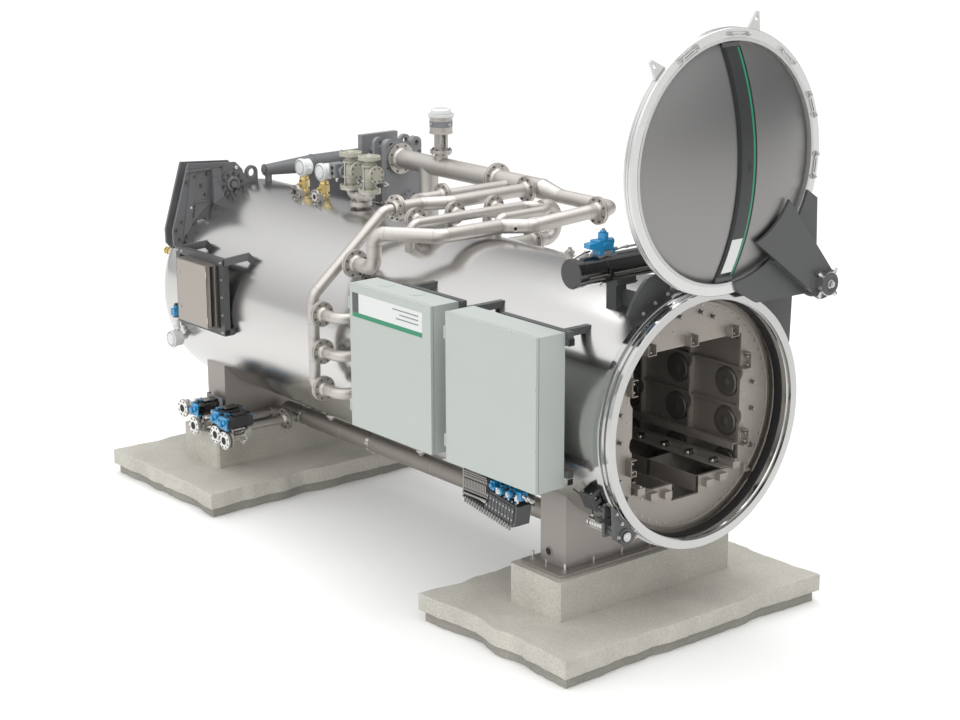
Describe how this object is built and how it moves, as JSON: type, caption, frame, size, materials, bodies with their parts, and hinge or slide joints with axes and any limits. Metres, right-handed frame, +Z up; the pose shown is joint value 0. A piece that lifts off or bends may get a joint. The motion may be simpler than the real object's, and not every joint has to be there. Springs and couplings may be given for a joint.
{
  "type": "retort sterilizer",
  "caption": "Horizontal steam retort with a domed door that swings up over its mouth, a basket channel inside, side cabinets and pipework, on concrete plinths.",
  "frame": {"origin": "middle of the front foundation's underside, at ground level", "axes": "+X out of the vessel's mouth, +Z up, -Y the side with the cabinets"},
  "size_m": [6.279, 2.6787, 4.4148],
  "materials": {
    "band_paint": "dark grey band with a green line",
    "black_paint": "gloss black paint",
    "blue_enamel": "blue enamel",
    "brass": "cast and turned",
    "bright_steel": "turned stainless",
    "cabinet_paint": "pale grey-green powder coat",
    "carriage_steel": "blasted stainless",
    "cladding": "polished stainless sheet",
    "concrete": "cast sand-coloured concrete",
    "dark_paint": "dark grey paint",
    "door_steel": "satin stainless",
    "grey_paint": "mid grey paint",
    "leg_steel": "satin grey paint",
    "mouth_steel": "machined stainless, polished",
    "panel_steel": "brushed stainless",
    "pipe_steel": "pickled stainless pipe",
    "roller_steel": "turned stainless",
    "valve_paint": "beige-green valve paint",
    "white_enamel": "white enamel"
  },
  "bodies": {
    "root": {"front_foundation_slab": "concrete", "rear_foundation_slab": "concrete", "front_plinth": "concrete", "rear_plinth": "concrete", "front_base_plate": "leg_steel", "rear_base_plate": "leg_steel", "front_saddle_leg": "leg_steel", "rear_saddle_leg": "leg_steel", "vessel_shell": "cladding", "rear_head": "cladding", "mouth_flange": "mouth_steel", "bulkhead": "carriage_steel", "inner_frames": "carriage_steel", "basket_rails": "carriage_steel", "rail_rollers": "roller_steel", "guide_blocks": "carriage_steel", "side_panels": "carriage_steel", "pivot_bracket": "dark_paint", "drive_cylinder": "black_paint", "cylinder_post": "dark_paint", "left_cabinet_body": "cabinet_paint", "right_cabinet_body": "cabinet_paint", "cabinet_frame": "dark_paint", "pipe_header": "pipe_steel", "crossover_pipe": "pipe_steel", "riser_pipe": "pipe_steel", "drain_header": "pipe_steel", "return_pipe": "pipe_steel", "cylinder_valve": "blue_enamel", "flange_bracket": "dark_paint", "exchanger_frame": "grey_paint", "exchanger_plates": "carriage_steel", "exchanger_stand": "grey_paint", "control_valve": "pipe_steel", "control_valve_cap": "white_enamel", "relief_nozzle": "pipe_steel", "relief_valves": "valve_paint", "switch_box": "grey_paint", "transmitter_bodies": "brass", "transmitter_heads": "white_enamel", "top_nozzles": "pipe_steel", "rear_arm_plates": "dark_paint", "rear_cross_tube": "dark_paint", "sample_valve": "brass", "side_transmitter": "white_enamel", "operator_panel": "panel_steel", "panel_frame": "dark_paint", "service_valves": "pipe_steel", "service_actuators": "black_paint", "valve_island": "dark_paint", "door_lock": "dark_paint"},
    "door": {"door_ring": "door_steel", "door_dome": "door_steel", "door_band": "band_paint", "door_clips": "bright_steel", "lifting_lugs": "bright_steel", "door_arm": "dark_paint", "pivot_shaft": "bright_steel"},
    "left_cabinet_leaf": {"left_cabinet_door": "cabinet_paint"},
    "right_cabinet_leaf": {"right_cabinet_door": "cabinet_paint"}
  },
  "joints": [
    {"name": "door_swing", "type": "hinge", "parent": "root", "child": "door", "pos_m": [0.9, 0.915, 2.52], "axis": [1, 0, 0], "range_deg": [0, 90]},
    {"name": "left_cabinet_hinge", "type": "hinge", "parent": "root", "child": "left_cabinet_leaf", "pos_m": [-1.672, -1.195, 1.8], "axis": [0, 0, 1], "range_deg": [-95, 0]},
    {"name": "right_cabinet_hinge", "type": "hinge", "parent": "root", "child": "right_cabinet_leaf", "pos_m": [-0.55, -1.195, 1.8], "axis": [0, 0, 1], "range_deg": [-95, 0]}
  ]
}
